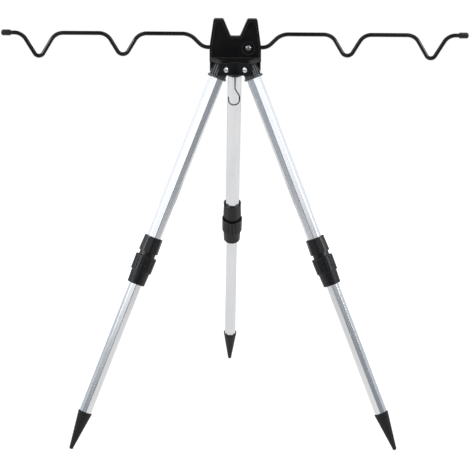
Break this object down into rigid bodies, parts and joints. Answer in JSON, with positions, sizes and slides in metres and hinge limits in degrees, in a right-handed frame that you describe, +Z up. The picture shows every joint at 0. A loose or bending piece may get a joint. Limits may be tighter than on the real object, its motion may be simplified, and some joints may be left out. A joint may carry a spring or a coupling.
{
  "type": "rod tripod",
  "caption": "Folding fishing rod tripod: notched plastic head, wire rod-rest arms that fold down, hanging hook and telescopic eight-sided legs with twist locks and spikes.",
  "frame": {"origin": "on the ground at the middle of the object's box, standing on its three spikes", "axes": "+X along the arms, +Y from the face with the dished screw towards the single rear leg, +Z up"},
  "size_m": [0.6864, 0.4188, 0.6169],
  "materials": {
    "head_plastic": "semi-gloss moulded black",
    "lock_plastic": "satin moulded black",
    "fitting_plastic": "satin moulded black",
    "spike_plastic": "matt moulded black",
    "inner_plastic": "natural nylon",
    "tube_aluminium": "bright anodised, drawn eight-sided",
    "screw_chrome": "bright plated",
    "arm_wire": "semi-gloss black coating on steel wire",
    "cap_rubber": "satin black",
    "hook_steel": "plated wire"
  },
  "bodies": {
    "head": {"head_front": "head_plastic", "head_back": "head_plastic", "hub": "head_plastic", "shell_screw_1": "screw_chrome", "shell_screw_2": "screw_chrome", "shell_screw_3": "screw_chrome", "shell_screw_4": "screw_chrome", "arm_screw_left": "screw_chrome", "arm_screw_right": "screw_chrome", "hinge_screw_left": "screw_chrome", "hinge_screw_right": "screw_chrome", "hinge_screw_rear": "screw_chrome", "hinge_nut_left": "screw_chrome", "hinge_nut_right": "screw_chrome", "hinge_nut_rear": "screw_chrome", "hook_eyelet": "hook_steel"},
    "leg_left": {"leg_top_left": "fitting_plastic", "upper_tube_left": "tube_aluminium", "lock_sleeve_left": "lock_plastic", "lock_collet_left": "inner_plastic"},
    "leg_right": {"leg_top_right": "fitting_plastic", "upper_tube_right": "tube_aluminium", "lock_sleeve_right": "lock_plastic", "lock_collet_right": "inner_plastic"},
    "leg_rear": {"leg_top_rear": "fitting_plastic", "upper_tube_rear": "tube_aluminium", "lock_sleeve_rear": "lock_plastic", "lock_collet_rear": "inner_plastic"},
    "nut_left": {"lock_nut_left": "lock_plastic"},
    "nut_right": {"lock_nut_right": "lock_plastic"},
    "nut_rear": {"lock_nut_rear": "lock_plastic"},
    "extension_left": {"lower_tube_left": "tube_aluminium", "guide_plug_left": "inner_plastic", "foot_spike_left": "spike_plastic"},
    "extension_right": {"lower_tube_right": "tube_aluminium", "guide_plug_right": "inner_plastic", "foot_spike_right": "spike_plastic"},
    "extension_rear": {"lower_tube_rear": "tube_aluminium", "guide_plug_rear": "inner_plastic", "foot_spike_rear": "spike_plastic"},
    "rod_arm_left": {"arm_left": "arm_wire", "arm_cap_left": "cap_rubber"},
    "rod_arm_right": {"arm_right": "arm_wire", "arm_cap_right": "cap_rubber"},
    "hook_swivel": {"hook": "hook_steel"}
  },
  "joints": [
    {"name": "leg_fold_left", "type": "hinge", "parent": "head", "child": "leg_left", "pos_m": [-0.02165, -0.08143, 0.5471], "axis": [0.5, -0.866, 0], "range_deg": [0, 24.7]},
    {"name": "leg_fold_right", "type": "hinge", "parent": "head", "child": "leg_right", "pos_m": [0.02165, -0.08143, 0.5471], "axis": [0.5, 0.866, 0], "range_deg": [0, 24.7]},
    {"name": "leg_fold_rear", "type": "hinge", "parent": "head", "child": "leg_rear", "pos_m": [0, -0.04393, 0.5471], "axis": [-1, 0, 0], "range_deg": [0, 24.7]},
    {"name": "leg_slide_left", "type": "slide", "parent": "leg_left", "child": "extension_left", "axis": [0.3619, 0.2089, 0.9085], "range_m": [0, 0.2]},
    {"name": "leg_slide_right", "type": "slide", "parent": "leg_right", "child": "extension_right", "axis": [-0.3619, 0.2089, 0.9085], "range_m": [0, 0.2]},
    {"name": "leg_slide_rear", "type": "slide", "parent": "leg_rear", "child": "extension_rear", "axis": [0, -0.4179, 0.9085], "range_m": [0, 0.2]},
    {"name": "nut_turn_left", "type": "hinge", "parent": "leg_left", "child": "nut_left", "pos_m": [-0.13655, -0.14777, 0.25865], "axis": [0.3619, 0.2089, 0.9085], "range_deg": [0, 120]},
    {"name": "nut_turn_right", "type": "hinge", "parent": "leg_right", "child": "nut_right", "pos_m": [0.13655, -0.14777, 0.25865], "axis": [-0.3619, 0.2089, 0.9085], "range_deg": [0, 120]},
    {"name": "nut_turn_rear", "type": "hinge", "parent": "leg_rear", "child": "nut_rear", "pos_m": [0, 0.08874, 0.25865], "axis": [0, -0.4179, 0.9085], "range_deg": [0, 120]},
    {"name": "arm_fold_left", "type": "hinge", "parent": "head", "child": "rod_arm_left", "pos_m": [-0.0191, -0.06263, 0.57481], "axis": [0, -1, 0], "range_deg": [0, 90]},
    {"name": "arm_fold_right", "type": "hinge", "parent": "head", "child": "rod_arm_right", "pos_m": [0.0191, -0.06263, 0.57481], "axis": [0, 1, 0], "range_deg": [0, 90]},
    {"name": "hook_turn", "type": "hinge", "parent": "head", "child": "hook_swivel", "pos_m": [0, -0.06893, 0.5], "axis": [0, 0, 1], "continuous": true}
  ]
}
